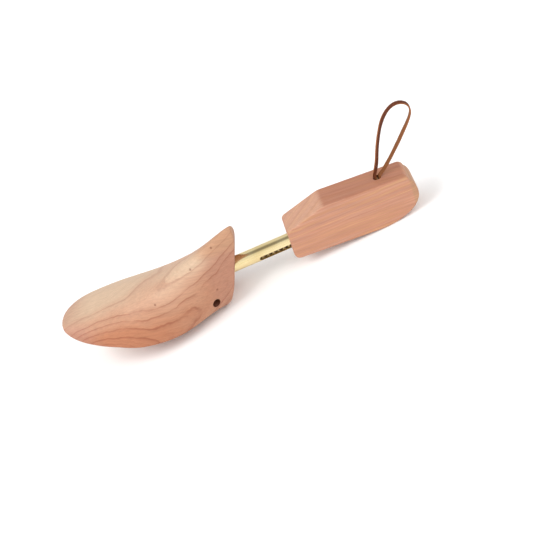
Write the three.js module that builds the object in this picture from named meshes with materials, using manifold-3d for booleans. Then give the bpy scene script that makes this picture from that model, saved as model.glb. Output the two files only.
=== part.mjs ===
// A cedar shoe tree for a right shoe: a full toe block and a heel block joined by a sprung brass tube,
// with a leather pull loop. Millimetres and degrees. +X points to the toe, +Y to the inner side of the
// foot (left), +Z up, and the tree lies on z = 0.
//
// The parts are drawn in the tube's own frame: its origin is on the tube's axis, just inside the heel
// block's front face, and +X runs along the tube to the toe.
import * as THREE from "three";
import { mergeVertices } from "three/addons/utils/BufferGeometryUtils.js";
import Module from "manifold-3d";

const wasm = await Module();
wasm.setup();

// ---------------------------------------------------------------- driving dimensions
const GAP = 0.3; // between pieces that touch
const CUT_THROUGH = 50; // holes are cut this far past the surface they open on
const ROUND_SIDES = 32;
const SMALL_SIDES = 24;
const SCREW_SIDES = 16;

// The tree lies on the flat of its sole and on the round end of the heel block's bottom, with the tube
// rising to the toe by this angle.
const REST_RISE = 4.6;

// tube
const TUBE_R = 6.35;
const TUBE_WALL = 0.7;
const TOE_START = 50.4; // where the axis enters the toe block's rear face
const TUBE_IN_TOE = 42;
const TUBE_BACK = -48;
const TUBE_FRONT = TOE_START + TUBE_IN_TOE;
const TUBE_SIDES = 40;
const TUBE_BORE_R = TUBE_R - TUBE_WALL;
const BORE_R = TUBE_R + GAP;

// slot and cross pin
const PIN_R = 2;
const PIN_X = -40;
const PIN_RECESS = 0.4; // the pin's end lies this deep in the outer side
const PIN_STOP = 3; // and its hole stops this far short of the inner side
const SLOT_TURN = -15; // the pin and the slots are turned down by this angle on the inner side
const SLOT_HALF_WIDTH = PIN_R + 0.25;
const SLOT_FRONT = TOE_START - 20.5;
const SLOT_BACK = PIN_X - PIN_R - GAP;

// spring
const SPRING_R = 4.55; // to the wire's centre
const WIRE_R = 0.62;
const SPRING_TURNS = 24;
const END_TURNS = 1.25; // closed turns at each end
const CLOSED_PITCH = 1.42;
const WIRE_SIDES = 6;
const STEPS_PER_TURN = 12;
const SEAT_THICKNESS = 2.4;
const PLUG_BACK = TOE_START + 19;
const PLUG_FRONT = TUBE_FRONT - 1;

// heel block, seen from the side: u runs back from the origin, v up from its bottom
const HEEL_WIDTH = 24.8;
const HEEL_HEIGHT = 42.4;
const HEEL_FRONT_HEIGHT = 30.2; // of the chamfer at u = 0
const HEEL_CHAMFER_END = 32;
const HEEL_TOP_END = 104.3;
const HEEL_LENGTH = 109.5;
const HEEL_BOTTOM_END = 70;
const HEEL_BACK_HEIGHT = 24; // of the rearmost point
const HEEL_NOSE = 1.9; // the front face is this far ahead of u = 0
const HEEL_CORNER = 3; // rounding of the front face's upper corner and of the chamfer's upper end
const HEEL_LOW_CORNER = 6; // rounding of the front face's lower corner
const HEEL_TOP_CORNER = 5; // rounding where the top meets the back
const HEEL_BACK_BEND = 9; // the back curves down from this far below the top
const HEEL_TUBE_HEIGHT = 12.3; // of the tube's axis at u = 0
const HEEL_PITCH = 4.5; // between the block's bottom and the tube
const HEEL_EDGE = 1.6; // rounding along the sides
const BORE_DEPTH = 89.5;

// leather loop and the wooden peg that wedges it
const LOOP_HOLE_U = 81.2;
const LOOP_HOLE_R = 3.3;
const LOOP_HOLE_DEPTH = 13;
const LACE_WIDTH = 3;
const LACE_THICKNESS = 1.4;
const STRAND_OFFSET = 1.8; // of each strand's middle from the hole's
const LOOP_STEPS = 60;
const PEG_THICKNESS = 1.5;
const PEG_WIDTH = 4.4;
const PEG_LENGTH = 11;
const PEG_LIFT = 0.5; // off the bottom of the hole

// toe block, in its own frame: x runs forward from its rear face at the sole, z up from the sole
const TOE_LENGTH = 142.1;
const TOE_PITCH = 14.2; // between its sole and the tube
const TOE_TUBE_HEIGHT = 43; // of the tube's axis at the rear face
const REAR_LEAN = 0.12; // the rear face goes back by this much for each millimetre up
const REAR_SKEW = 0.2; // and forward by this much for each millimetre towards the inner side
const REAR_MIDDLE = 51; // the rear face is flat about this height, and curves forward
const REAR_TOP_CROWN = 5.4; // by this much at its top
const REAR_SOLE_CROWN = 7.4; // and by this much at the sole
// sections at equal steps of 15 degrees; a section's place along the block is the sine of its angle,
// and each row ends one step before the toe's tip
const INNER_SIDE = [16, 30.5, 34.8, 29, 20, 8.8];
const OUTER_SIDE = [-20, -41.5, -50, -46.5, -38, -22];
const SOLE = [8.2, -2, -2.2, 0.5, 3, 7.5];
const TOP = [91, 67, 44, 30, 23, 19.5];
const RIDGE = [12.5, 16, 14, 9, 5, 2]; // how far the ridge lies to the inner side
const WIDEST = [13, 11, 9, 8, 7.5, 5]; // height of the widest place above the sole
const ROUNDNESS = [1.5, 1.5, 1.7, 2, 2.1, 2.2, 2.2]; // of the upper half: 2 is an ellipse
const SOLE_ROUNDNESS = 2;
const TOE_TIP_Y = 0;
const TOE_TIP_Z = 17;
const STATIONS = 30; // rings of points from the rear face to the tip
const PER_QUARTER = 12; // points in a quarter of a ring

// screw that holds the tube in the toe block
const SCREW_X = 79;
const SCREW_DIRECTION = new THREE.Vector3(-3, 20.6, -13.9).normalize(); // from the axis to the head
const SCREW_SEAT = 15.5; // from the tube's axis to the underside of the head
const SCREW_HEAD_R = 3.2;
const SCREW_HEAD_HEIGHT = 2.2;
const SCREW_SHANK_R = 1.7;
const SCREW_HOLE_R = SCREW_SHANK_R + GAP;
const SCREW_SLOT_R = 0.55;
const SCREW_PAST_AXIS = 3;
const PLUG_HOLE_PAST_AXIS = 4;
const COUNTERBORE_R = 3.5;

const TABLE = [600, 300, 60]; // a slab that stands for the table

// ---------------------------------------------------------------- solids
function toSolid(geometry) {
  const g = geometry.clone();
  g.deleteAttribute("normal");
  g.deleteAttribute("uv");
  const merged = mergeVertices(g, 1e-4);
  return new wasm.Manifold(
    new wasm.Mesh({
      numProp: 3,
      vertProperties: new Float32Array(merged.attributes.position.array),
      triVerts: new Uint32Array(merged.index.array),
    }),
  );
}

function toGeometry(solid) {
  const mesh = solid.getMesh();
  const g = new THREE.BufferGeometry();
  g.setAttribute("position", new THREE.BufferAttribute(mesh.vertProperties, 3));
  g.setIndex(new THREE.BufferAttribute(mesh.triVerts, 1));
  g.computeVertexNormals();
  return g;
}

function cut(geometry, ...tools) {
  let solid = toSolid(geometry);
  for (const tool of tools) solid = solid.subtract(toSolid(tool));
  return toGeometry(solid);
}

// A cylinder from one point to another.
function rod(from, to, radius, sides = ROUND_SIDES) {
  const along = new THREE.Vector3().subVectors(to, from);
  const g = new THREE.CylinderGeometry(radius, radius, along.length(), sides);
  const turn = new THREE.Quaternion().setFromUnitVectors(
    new THREE.Vector3(0, 1, 0),
    along.clone().normalize(),
  );
  g.applyQuaternion(turn);
  const middle = new THREE.Vector3().addVectors(from, to).multiplyScalar(0.5);
  g.translate(middle.x, middle.y, middle.z);
  return g;
}

const onAxis = (x) => new THREE.Vector3(x, 0, 0);
const screwPoint = (distance) =>
  onAxis(SCREW_X).addScaledVector(SCREW_DIRECTION, distance);

// ---------------------------------------------------------------- materials
const wood = (color) =>
  new THREE.MeshStandardMaterial({ color, roughness: 0.6, metalness: 0 });
const metal = (color, roughness) =>
  new THREE.MeshStandardMaterial({ color, roughness, metalness: 1 });

const cedar = wood(0xd9a283);
const darkCedar = wood(0xb87f5f);
const brass = metal(0xd8b56a, 0.22);
const springSteel = metal(0x9a9184, 0.35);
const steel = metal(0x8b8a86, 0.4);
const leather = new THREE.MeshStandardMaterial({
  color: 0x7d4627,
  roughness: 0.7,
  metalness: 0,
});

function piece(name, geometry, material) {
  const mesh = new THREE.Mesh(geometry, material);
  mesh.name = name;
  return mesh;
}

// ---------------------------------------------------------------- toe block
// A smooth curve through values at equal steps, read at a step that need not be whole.
function curveThrough(values) {
  const points = values.map((value, i) => new THREE.Vector2(i, value));
  const spline = new THREE.SplineCurve(points);
  return (step) => spline.getPoint(step / (values.length - 1)).y;
}

// The outline on one side runs on over the toe's tip into the other side's, so the nose is round.
const over = (side, tip, other) =>
  curveThrough([...side, tip, ...other.toReversed()]);

const innerAt = over(INNER_SIDE, TOE_TIP_Y, OUTER_SIDE);
const outerAt = over(OUTER_SIDE, TOE_TIP_Y, INNER_SIDE);
const soleAt = over(SOLE, TOE_TIP_Z, TOP);
const topAt = over(TOP, TOE_TIP_Z, SOLE);
const ridgeAt = curveThrough([...RIDGE, TOE_TIP_Y]);
const widestAt = curveThrough([...WIDEST, 0]);
const roundnessAt = curveThrough(ROUNDNESS);

// One quarter of a section, from (sideY, midZ) to (ridgeY, endZ).
function quarter(sideY, midZ, ridgeY, endZ, roundness, count) {
  const points = [];
  for (let i = 0; i < count; i++) {
    const angle = (i / count) * (Math.PI / 2);
    const across = Math.cos(angle) ** (2 / roundness);
    const up = Math.sin(angle) ** (2 / roundness);
    points.push([ridgeY + (sideY - ridgeY) * across, midZ + (endZ - midZ) * up]);
  }
  points.push([ridgeY, endZ]);
  return points;
}

function toeSection(step) {
  const count = PER_QUARTER;
  const inner = innerAt(step);
  const outer = outerAt(step);
  const sole = soleAt(step);
  const widest = sole + widestAt(step);
  const middle = (inner + outer) / 2;
  const upper = [widest, ridgeAt(step), topAt(step), roundnessAt(step), count];
  const lower = [widest, middle, sole, SOLE_ROUNDNESS, count];
  return [
    ...quarter(inner, ...upper).slice(0, -1),
    ...quarter(outer, ...upper).reverse().slice(0, -1),
    ...quarter(outer, ...lower).slice(0, -1),
    ...quarter(inner, ...lower).reverse().slice(0, -1),
  ];
}

// How far forward the rear face lies at a place on it.
function rearOf(y, z) {
  const above = z > REAR_MIDDLE;
  const share = (z - REAR_MIDDLE) / ((above ? TOP[0] : SOLE[0]) - REAR_MIDDLE);
  const crown = (above ? REAR_TOP_CROWN : REAR_SOLE_CROWN) * share ** 4;
  return REAR_SKEW * y - REAR_LEAN * z + crown;
}

function toeBlockGeometry() {
  const positions = [];
  const faces = [];
  const around = 4 * PER_QUARTER;
  for (let i = 0; i < STATIONS; i++) {
    const share = i / STATIONS;
    const forward = Math.sin((share * Math.PI) / 2);
    for (const [y, z] of toeSection(share * SOLE.length)) {
      const rear = rearOf(y, z);
      positions.push(rear + forward * (TOE_LENGTH - rear), y, z);
    }
  }
  const tip = positions.length / 3;
  positions.push(TOE_LENGTH, TOE_TIP_Y, TOE_TIP_Z);
  positions.push(rearOf(0, TOE_TUBE_HEIGHT), 0, TOE_TUBE_HEIGHT);
  for (let j = 0; j < around; j++) {
    const next = (j + 1) % around;
    for (let i = 0; i < STATIONS - 1; i++) {
      const a = i * around + j;
      const b = i * around + next;
      faces.push(a, b, a + around, b, b + around, a + around);
    }
    faces.push(tip + 1, next, j);
    faces.push(tip, (STATIONS - 1) * around + j, (STATIONS - 1) * around + next);
  }
  const g = new THREE.BufferGeometry();
  g.setAttribute("position", new THREE.Float32BufferAttribute(positions, 3));
  g.setIndex(faces);
  // into the tube's frame
  g.translate(REAR_LEAN * TOE_TUBE_HEIGHT, 0, -TOE_TUBE_HEIGHT);
  g.rotateY(-THREE.MathUtils.degToRad(TOE_PITCH));
  g.translate(TOE_START, 0, 0);
  return g;
}

function toeBlock(belowTable) {
  const bore = rod(onAxis(TOE_START - CUT_THROUGH), onAxis(TUBE_FRONT + GAP), BORE_R);
  const seat = screwPoint(SCREW_SEAT);
  const outside = screwPoint(SCREW_SEAT + CUT_THROUGH);
  const counterbore = rod(seat, outside, COUNTERBORE_R, SMALL_SIDES);
  const pilot = rod(onAxis(SCREW_X), screwPoint(SCREW_SEAT + GAP), SCREW_HOLE_R, SCREW_SIDES);
  const shape = cut(toeBlockGeometry(), bore, counterbore, pilot, belowTable);
  return piece("toe_block", shape, cedar);
}

function toeScrew() {
  const under = SCREW_SEAT + GAP;
  const top = screwPoint(under + SCREW_HEAD_HEIGHT);
  const middle = screwPoint(under + SCREW_HEAD_HEIGHT / 2);
  const head = toSolid(rod(screwPoint(under), top, SCREW_HEAD_R, SMALL_SIDES));
  const shank = toSolid(rod(screwPoint(-SCREW_PAST_AXIS), middle, SCREW_SHANK_R, SCREW_SIDES));
  const across = new THREE.Vector3(0, 0, 1).cross(SCREW_DIRECTION).setLength(SCREW_HEAD_R + 1);
  const slot = rod(top.clone().sub(across), top.clone().add(across), SCREW_SLOT_R, 4);
  const solid = head.add(shank).subtract(toSolid(slot));
  return piece("toe_screw", toGeometry(solid), steel);
}

// ---------------------------------------------------------------- tube and spring
const slotTurn = THREE.MathUtils.degToRad(SLOT_TURN);

function slotCutter() {
  const r = SLOT_HALF_WIDTH;
  const shape = new THREE.Shape();
  shape.absarc(SLOT_FRONT - r, 0, r, -Math.PI / 2, Math.PI / 2, false);
  shape.absarc(SLOT_BACK + r, 0, r, Math.PI / 2, (3 * Math.PI) / 2, false);
  const g = new THREE.ExtrudeGeometry(shape, {
    depth: 4 * TUBE_R,
    bevelEnabled: false,
    curveSegments: 8,
  });
  g.rotateX(Math.PI / 2);
  g.translate(0, 2 * TUBE_R, 0);
  g.rotateX(slotTurn);
  return g;
}

function tube() {
  const outside = rod(onAxis(TUBE_BACK), onAxis(TUBE_FRONT), TUBE_R, TUBE_SIDES);
  const past = [onAxis(TUBE_BACK - CUT_THROUGH), onAxis(TUBE_FRONT + CUT_THROUGH)];
  const inside = rod(...past, TUBE_BORE_R, TUBE_SIDES);
  const screwHole = rod(onAxis(SCREW_X), screwPoint(CUT_THROUGH), SCREW_HOLE_R, SCREW_SIDES);
  return piece("tube", cut(outside, inside, slotCutter(), screwHole), brass);
}

function springPlug() {
  const body = rod(onAxis(PLUG_BACK), onAxis(PLUG_FRONT), TUBE_BORE_R - GAP, SMALL_SIDES);
  const from = screwPoint(-PLUG_HOLE_PAST_AXIS);
  const hole = rod(from, screwPoint(CUT_THROUGH), SCREW_HOLE_R, SCREW_SIDES);
  return piece("spring_plug", cut(body, hole), darkCedar);
}

const seatBack = PIN_X + PIN_R + GAP;
const springBack = seatBack + SEAT_THICKNESS + GAP + WIRE_R;
const springFront = PLUG_BACK - GAP - WIRE_R;

function springSeat() {
  const ends = [onAxis(seatBack), onAxis(seatBack + SEAT_THICKNESS)];
  return piece("spring_seat", rod(...ends, TUBE_BORE_R - GAP, SMALL_SIDES), brass);
}

// The spring's wire: closed turns at both ends and open ones between.
class SpringCurve extends THREE.Curve {
  getPoint(t, target = new THREE.Vector3()) {
    const turn = t * SPRING_TURNS;
    const closed = END_TURNS * CLOSED_PITCH;
    const openPitch =
      (springFront - springBack - 2 * closed) / (SPRING_TURNS - 2 * END_TURNS);
    const fromBack = Math.min(turn, END_TURNS) * CLOSED_PITCH;
    const open = THREE.MathUtils.clamp(turn - END_TURNS, 0, SPRING_TURNS - 2 * END_TURNS);
    const fromFront = Math.max(turn - (SPRING_TURNS - END_TURNS), 0) * CLOSED_PITCH;
    const angle = turn * 2 * Math.PI;
    return target.set(
      springBack + fromBack + open * openPitch + fromFront,
      SPRING_R * Math.cos(angle),
      SPRING_R * Math.sin(angle),
    );
  }
}

function circleShape(radius, sides) {
  const points = [];
  for (let i = 0; i < sides; i++) {
    const angle = (i / sides) * 2 * Math.PI;
    points.push(new THREE.Vector2(radius * Math.cos(angle), radius * Math.sin(angle)));
  }
  return new THREE.Shape(points);
}

function spring() {
  const g = new THREE.ExtrudeGeometry(circleShape(WIRE_R, WIRE_SIDES), {
    steps: SPRING_TURNS * STEPS_PER_TURN,
    extrudePath: new SpringCurve(),
    bevelEnabled: false,
  });
  return piece("spring", g, springSteel);
}

// ---------------------------------------------------------------- heel block
// Its group's origin is the tube frame's, +X to the toe, +Z up.
const heelPoint = (u, v) => [-u, v - HEEL_TUBE_HEIGHT];

const chamferPoint = (u) => {
  const slope = (HEEL_HEIGHT - HEEL_FRONT_HEIGHT) / HEEL_CHAMFER_END;
  return heelPoint(u, HEEL_FRONT_HEIGHT + u * slope);
};

function heelOutline() {
  const s = new THREE.Shape();
  // front face
  const [frontX, frontTop] = chamferPoint(-HEEL_NOSE);
  s.moveTo(...heelPoint(-HEEL_NOSE, HEEL_LOW_CORNER));
  s.lineTo(frontX, frontTop - HEEL_CORNER);
  s.quadraticCurveTo(frontX, frontTop, ...chamferPoint(HEEL_CORNER - HEEL_NOSE));
  // chamfer and top
  s.lineTo(...chamferPoint(HEEL_CHAMFER_END - HEEL_CORNER));
  const chamferEnd = heelPoint(HEEL_CHAMFER_END, HEEL_HEIGHT);
  const topStart = heelPoint(HEEL_CHAMFER_END + HEEL_CORNER, HEEL_HEIGHT);
  s.quadraticCurveTo(...chamferEnd, ...topStart);
  s.lineTo(...heelPoint(HEEL_TOP_END - HEEL_TOP_CORNER, HEEL_HEIGHT));
  // back
  const corner = heelPoint(HEEL_TOP_END, HEEL_HEIGHT);
  const backStart = heelPoint(HEEL_TOP_END + 1, HEEL_HEIGHT - HEEL_TOP_CORNER);
  s.quadraticCurveTo(...corner, ...backStart);
  const backBend = heelPoint(HEEL_LENGTH, HEEL_HEIGHT - HEEL_BACK_BEND);
  s.quadraticCurveTo(...backBend, ...heelPoint(HEEL_LENGTH, HEEL_BACK_HEIGHT));
  const centre = heelPoint(HEEL_BOTTOM_END, HEEL_BACK_HEIGHT);
  const radii = [HEEL_LENGTH - HEEL_BOTTOM_END, HEEL_BACK_HEIGHT];
  s.absellipse(...centre, ...radii, Math.PI, 1.5 * Math.PI, false);
  // bottom
  s.lineTo(...heelPoint(HEEL_LOW_CORNER - HEEL_NOSE, 0));
  const front = heelPoint(-HEEL_NOSE, HEEL_LOW_CORNER);
  s.quadraticCurveTo(...heelPoint(-HEEL_NOSE, 0), ...front);
  return s;
}

const heelTurn = THREE.MathUtils.degToRad(HEEL_PITCH);
// Turns what is drawn in the tube's frame into the heel block's.
const intoHeel = (geometry) => geometry.rotateY(heelTurn);
const heelHalf = HEEL_WIDTH / 2;
// A place on the cross pin's axis, that far from the tube's axis towards the inner side.
const alongPin = (distance) =>
  new THREE.Vector3(PIN_X, distance * Math.cos(slotTurn), distance * Math.sin(slotTurn));
const pinReach = heelHalf / Math.cos(slotTurn);

function heelBlock() {
  const body = new THREE.ExtrudeGeometry(heelOutline(), {
    depth: HEEL_WIDTH - 2 * HEEL_EDGE,
    bevelThickness: HEEL_EDGE,
    bevelSize: HEEL_EDGE,
    bevelOffset: -HEEL_EDGE,
    bevelSegments: 3,
    curveSegments: 10,
  });
  body.translate(0, 0, HEEL_EDGE - heelHalf);
  body.rotateX(Math.PI / 2);
  const bore = intoHeel(rod(onAxis(-BORE_DEPTH), onAxis(CUT_THROUGH), BORE_R));
  const pinHole = intoHeel(
    rod(alongPin(-CUT_THROUGH), alongPin(pinReach - PIN_STOP), PIN_R + GAP, SMALL_SIDES),
  );
  const [holeX, mouthZ] = heelPoint(LOOP_HOLE_U, HEEL_HEIGHT);
  const loopHole = rod(
    new THREE.Vector3(holeX, 0, mouthZ - LOOP_HOLE_DEPTH),
    new THREE.Vector3(holeX, 0, mouthZ + CUT_THROUGH),
    LOOP_HOLE_R,
    SMALL_SIDES,
  );
  return piece("heel_block", cut(body, bore, pinHole, loopHole), cedar);
}

function crossPin() {
  const ends = [alongPin(PIN_RECESS - pinReach), alongPin(pinReach - PIN_STOP - GAP)];
  return piece("cross_pin", rod(...ends, PIN_R, SMALL_SIDES), steel);
}

// The lace stands up out of its hole, leans back and comes down again into the same hole. In the heel
// block's frame, from the hole's mouth: back, left, up.
const LOOP_ROUTE = [
  [-STRAND_OFFSET, 0, -11],
  [-STRAND_OFFSET, 0, -3],
  [-1.2, 0, 3],
  [3, 0.2, 14],
  [7, 0.3, 28],
  [11.2, 0.4, 40],
  [15, 0.4, 48.6],
  [19, 0.4, 55],
  [23.6, 0.3, 59.6],
  [28.2, 0.2, 62],
  [32.4, 0.1, 62.3],
  [36.2, 0, 61],
  [39, -0.1, 58.4],
  [40.4, -0.2, 54.6],
  [40.2, -0.3, 50.2],
  [38, -0.3, 45.2],
  [34.7, -0.3, 40.1],
  [30.4, -0.2, 34.3],
  [25.2, -0.2, 27.2],
  [20.2, -0.2, 20.8],
  [15.2, -0.1, 14.6],
  [10.6, 0, 9.4],
  [6.5, 0, 5],
  [2.6, 0, 1.2],
  [STRAND_OFFSET, 0, -3],
  [STRAND_OFFSET, 0, -11],
];

function leatherLoop() {
  const [mouthX, mouthZ] = heelPoint(LOOP_HOLE_U, HEEL_HEIGHT);
  const points = LOOP_ROUTE.map(
    ([back, left, up]) => new THREE.Vector3(mouthX - back, left, mouthZ + up),
  );
  const path = new THREE.CatmullRomCurve3(points, false, "centripetal");
  const section = new THREE.Shape();
  const edge = LACE_THICKNESS / 4;
  const w = LACE_WIDTH / 2;
  const t = LACE_THICKNESS / 2;
  section.moveTo(w, -t + edge);
  section.lineTo(w, t - edge);
  section.lineTo(w - edge, t);
  section.lineTo(-w + edge, t);
  section.lineTo(-w, t - edge);
  section.lineTo(-w, -t + edge);
  section.lineTo(-w + edge, -t);
  section.lineTo(w - edge, -t);
  const g = new THREE.ExtrudeGeometry(section, {
    steps: LOOP_STEPS,
    extrudePath: path,
    bevelEnabled: false,
  });
  return piece("leather_loop", g, leather);
}

function loopPeg() {
  const [mouthX, mouthZ] = heelPoint(LOOP_HOLE_U, HEEL_HEIGHT);
  const g = new THREE.BoxGeometry(PEG_THICKNESS, PEG_WIDTH, PEG_LENGTH);
  g.translate(mouthX, 0, mouthZ - LOOP_HOLE_DEPTH + PEG_LIFT + PEG_LENGTH / 2);
  return piece("loop_peg", g, darkCedar);
}

// ---------------------------------------------------------------- assembly
const heel = new THREE.Group();
heel.rotation.y = -heelTurn;
const heelBody = heelBlock();
heel.add(heelBody, loopPeg());

const alongTube = new THREE.Group();
alongTube.rotation.y = -THREE.MathUtils.degToRad(REST_RISE);
alongTube.add(heel);

const shoeTree = new THREE.Group();
shoeTree.add(alongTube);

// The heel block's bottom is brought down to the table, and the sole is flat where it meets the table.
shoeTree.updateMatrixWorld(true);
alongTube.position.z = -new THREE.Box3().setFromObject(heelBody, true).min.z;
shoeTree.updateMatrixWorld(true);
const belowTable = new THREE.BoxGeometry(...TABLE);
belowTable.translate(0, 0, -TABLE[2] / 2);
belowTable.applyMatrix4(alongTube.matrixWorld.clone().invert());
alongTube.add(
  toeBlock(belowTable),
  toeScrew(),
  tube(),
  springPlug(),
  spring(),
  springSeat(),
  crossPin(),
);

// The origin is under the middle of everything but the loop.
shoeTree.updateMatrixWorld(true);
const box = new THREE.Box3().setFromObject(shoeTree, true);
alongTube.position.x = -(box.min.x + box.max.x) / 2;
alongTube.position.y = -(box.min.y + box.max.y) / 2;
heel.add(leatherLoop());

export default shoeTree;
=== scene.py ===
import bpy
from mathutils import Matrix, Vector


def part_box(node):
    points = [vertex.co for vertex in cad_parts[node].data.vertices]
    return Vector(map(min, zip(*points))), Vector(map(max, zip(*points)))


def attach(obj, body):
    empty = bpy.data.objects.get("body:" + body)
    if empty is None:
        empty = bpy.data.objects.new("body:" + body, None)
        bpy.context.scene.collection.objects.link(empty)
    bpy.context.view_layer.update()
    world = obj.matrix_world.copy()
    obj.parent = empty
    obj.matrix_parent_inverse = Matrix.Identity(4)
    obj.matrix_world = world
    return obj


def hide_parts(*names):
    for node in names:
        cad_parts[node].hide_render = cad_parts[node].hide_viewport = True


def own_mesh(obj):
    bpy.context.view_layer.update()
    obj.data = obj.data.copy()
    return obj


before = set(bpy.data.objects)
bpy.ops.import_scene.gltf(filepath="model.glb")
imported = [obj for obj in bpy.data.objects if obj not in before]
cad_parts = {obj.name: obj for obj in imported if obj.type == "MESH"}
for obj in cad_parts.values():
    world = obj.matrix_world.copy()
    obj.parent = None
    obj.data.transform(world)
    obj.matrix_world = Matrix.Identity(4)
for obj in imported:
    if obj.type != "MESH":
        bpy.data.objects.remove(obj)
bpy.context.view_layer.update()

import math

import bpy
import numpy as np
from mathutils import Matrix, Vector

MM = 0.001

# ---------------------------------------------------------------- driving dimensions, in millimetres
REST_RISE = math.radians(4.6)
TUBE_R = 6.35
TUBE_WALL = 0.7
TOE_START = 50.4
TUBE_BACK = -48
TUBE_FRONT = 92.4
TUBE_BORE_R = TUBE_R - TUBE_WALL
GAP = 0.3
CUT_THROUGH = 50

PIN_R = 2
PIN_X = -40
PIN_RECESS = 0.4
PIN_STOP = 3
SLOT_HALF_WIDTH = 2.25
SLOT_TURN = math.radians(-15)
SLOT_FRONT = 29.9
SLOT_BACK = -42.3

SPRING_R = 4.55
WIRE_R = 0.62
SPRING_TURNS = 24
END_TURNS = 1.25
CLOSED_PITCH = 1.42
SEAT_BACK = PIN_X + PIN_R + GAP
SEAT_THICKNESS = 2.4
PLUG_BACK = 69.4
SPRING_BACK = SEAT_BACK + SEAT_THICKNESS + GAP + WIRE_R
SPRING_FRONT = PLUG_BACK - GAP - WIRE_R

HEEL_WIDTH = 24.8
HEEL_HEIGHT = 42.4
HEEL_FRONT_HEIGHT = 30.2
HEEL_CHAMFER_END = 32
HEEL_TOP_END = 104.3
HEEL_LENGTH = 109.5
HEEL_BOTTOM_END = 70
HEEL_BACK_HEIGHT = 24
HEEL_TUBE_HEIGHT = 12.3
HEEL_PITCH = math.radians(4.5)
HEEL_NOSE = 1.9
HEEL_CORNER = 3
HEEL_LOW_CORNER = 6
HEEL_TOP_CORNER = 5
HEEL_BACK_BEND = 9
HEEL_EDGE = 1.6
BORE_DEPTH = 89.5

LOOP_HOLE_U = 81.2
LOOP_HOLE_R = 3.3
LOOP_HOLE_DEPTH = 13
LACE_WIDTH = 3
LACE_THICKNESS = 1.4
STRAND_OFFSET = 1.8

TOE_LENGTH = 142.1
TOE_PITCH = math.radians(14.2)
TOE_TUBE_HEIGHT = 43
REAR_LEAN = 0.12
REAR_SKEW = 0.2
REAR_MIDDLE = 51
REAR_TOP_CROWN = 5.4
REAR_SOLE_CROWN = 7.4
INNER_SIDE = [16, 30.5, 34.8, 29, 20, 8.8]
OUTER_SIDE = [-20, -41.5, -50, -46.5, -38, -22]
SOLE = [8.2, -2, -2.2, 0.5, 3, 7.5]
TOP = [91, 67, 44, 30, 23, 19.5]
RIDGE = [12.5, 16, 14, 9, 5, 2]
WIDEST = [13, 11, 9, 8, 7.5, 5]
ROUNDNESS = [1.5, 1.5, 1.7, 2, 2.1, 2.2, 2.2]
SOLE_ROUNDNESS = 2
TOE_TIP_Y = 0
TOE_TIP_Z = 17
REAR_EDGE = 1.4

SCREW_X = 79
SCREW_DIRECTION = Vector((-3, 20.6, -13.9)).normalized()
SCREW_SEAT = 15.5
SCREW_HEAD_R = 3.2
SCREW_HEAD_HEIGHT = 2.2
SCREW_SHANK_R = 1.7
COUNTERBORE_R = 3.5

# ---------------------------------------------------------------- frames
# Pieces are drawn in millimetres in the frame of the tube, the heel block or the toe block.
tube_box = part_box("tube")
ALONG_TUBE = (
    Matrix.Translation((tube_box[0] + tube_box[1]) / 2)
    @ Matrix.Rotation(-REST_RISE, 4, "Y")
    @ Matrix.Translation((-(TUBE_BACK + TUBE_FRONT) / 2 * MM, 0, 0))
)
HEEL = ALONG_TUBE @ Matrix.Rotation(-HEEL_PITCH, 4, "Y")
TOE = (
    ALONG_TUBE
    @ Matrix.Translation((TOE_START * MM, 0, 0))
    @ Matrix.Rotation(-TOE_PITCH, 4, "Y")
    @ Matrix.Translation((REAR_LEAN * TOE_TUBE_HEIGHT * MM, 0, -TOE_TUBE_HEIGHT * MM))
)

# ---------------------------------------------------------------- camera
CAMERA_AZIMUTH = math.radians(-172.74)
CAMERA_ELEVATION = math.radians(37.54)
CAMERA_ROLL = math.radians(-31.31)
CAMERA_DISTANCE = 1.6287
CAMERA_AIM = Vector((-0.01593, 0.01583, 0.01708))
CAMERA_LENS = 135.1


def make_camera():
    flat = math.cos(CAMERA_ELEVATION)
    back = Vector(
        (
            math.sin(CAMERA_AZIMUTH) * flat,
            -math.cos(CAMERA_AZIMUTH) * flat,
            math.sin(CAMERA_ELEVATION),
        )
    )
    level = Vector((0, 0, 1)).cross(back).normalized()
    level_up = back.cross(level)
    up = level_up * math.cos(CAMERA_ROLL) - level * math.sin(CAMERA_ROLL)
    right = up.cross(back)
    camera = bpy.data.objects.new("camera", bpy.data.cameras.new("camera"))
    bpy.context.scene.collection.objects.link(camera)
    turn = Matrix((right, up, back)).transposed()
    camera.matrix_world = Matrix.Translation(CAMERA_AIM + back * CAMERA_DISTANCE) @ turn.to_4x4()
    camera.data.lens = CAMERA_LENS
    camera.data.sensor_width = 36
    camera.data.clip_start = 0.05
    camera.data.clip_end = 50
    bpy.context.scene.camera = camera


make_camera()


# ---------------------------------------------------------------- meshes
frame_of = {}


def mesh_object(name, points, faces, matrix):
    """An object whose points are given in millimetres in the frame of that matrix."""
    turn = np.array(matrix)
    points = np.asarray(points, float) * MM @ turn[:3, :3].T + turn[:3, 3]
    mesh = bpy.data.meshes.new(name)
    mesh.from_pydata(points.tolist(), [], faces)
    mesh.validate()
    obj = bpy.data.objects.new(name, mesh)
    bpy.context.scene.collection.objects.link(obj)
    frame_of[obj.name] = matrix
    return obj


def lofted(name, rings, matrix):
    """Rings of the same number of points, each counter-clockwise seen from the last ring."""
    count = len(rings[0])
    points = np.concatenate([np.asarray(r, float) for r in rings])
    faces = []
    for i in range(len(rings) - 1):
        for j in range(count):
            a, b = i * count + j, i * count + (j + 1) % count
            faces.append((a, b, b + count, a + count))
    last = (len(rings) - 1) * count
    faces.append(tuple(reversed(range(count))))
    faces.append(tuple(range(last, last + count)))
    return mesh_object(name, points, faces, matrix)


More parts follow.
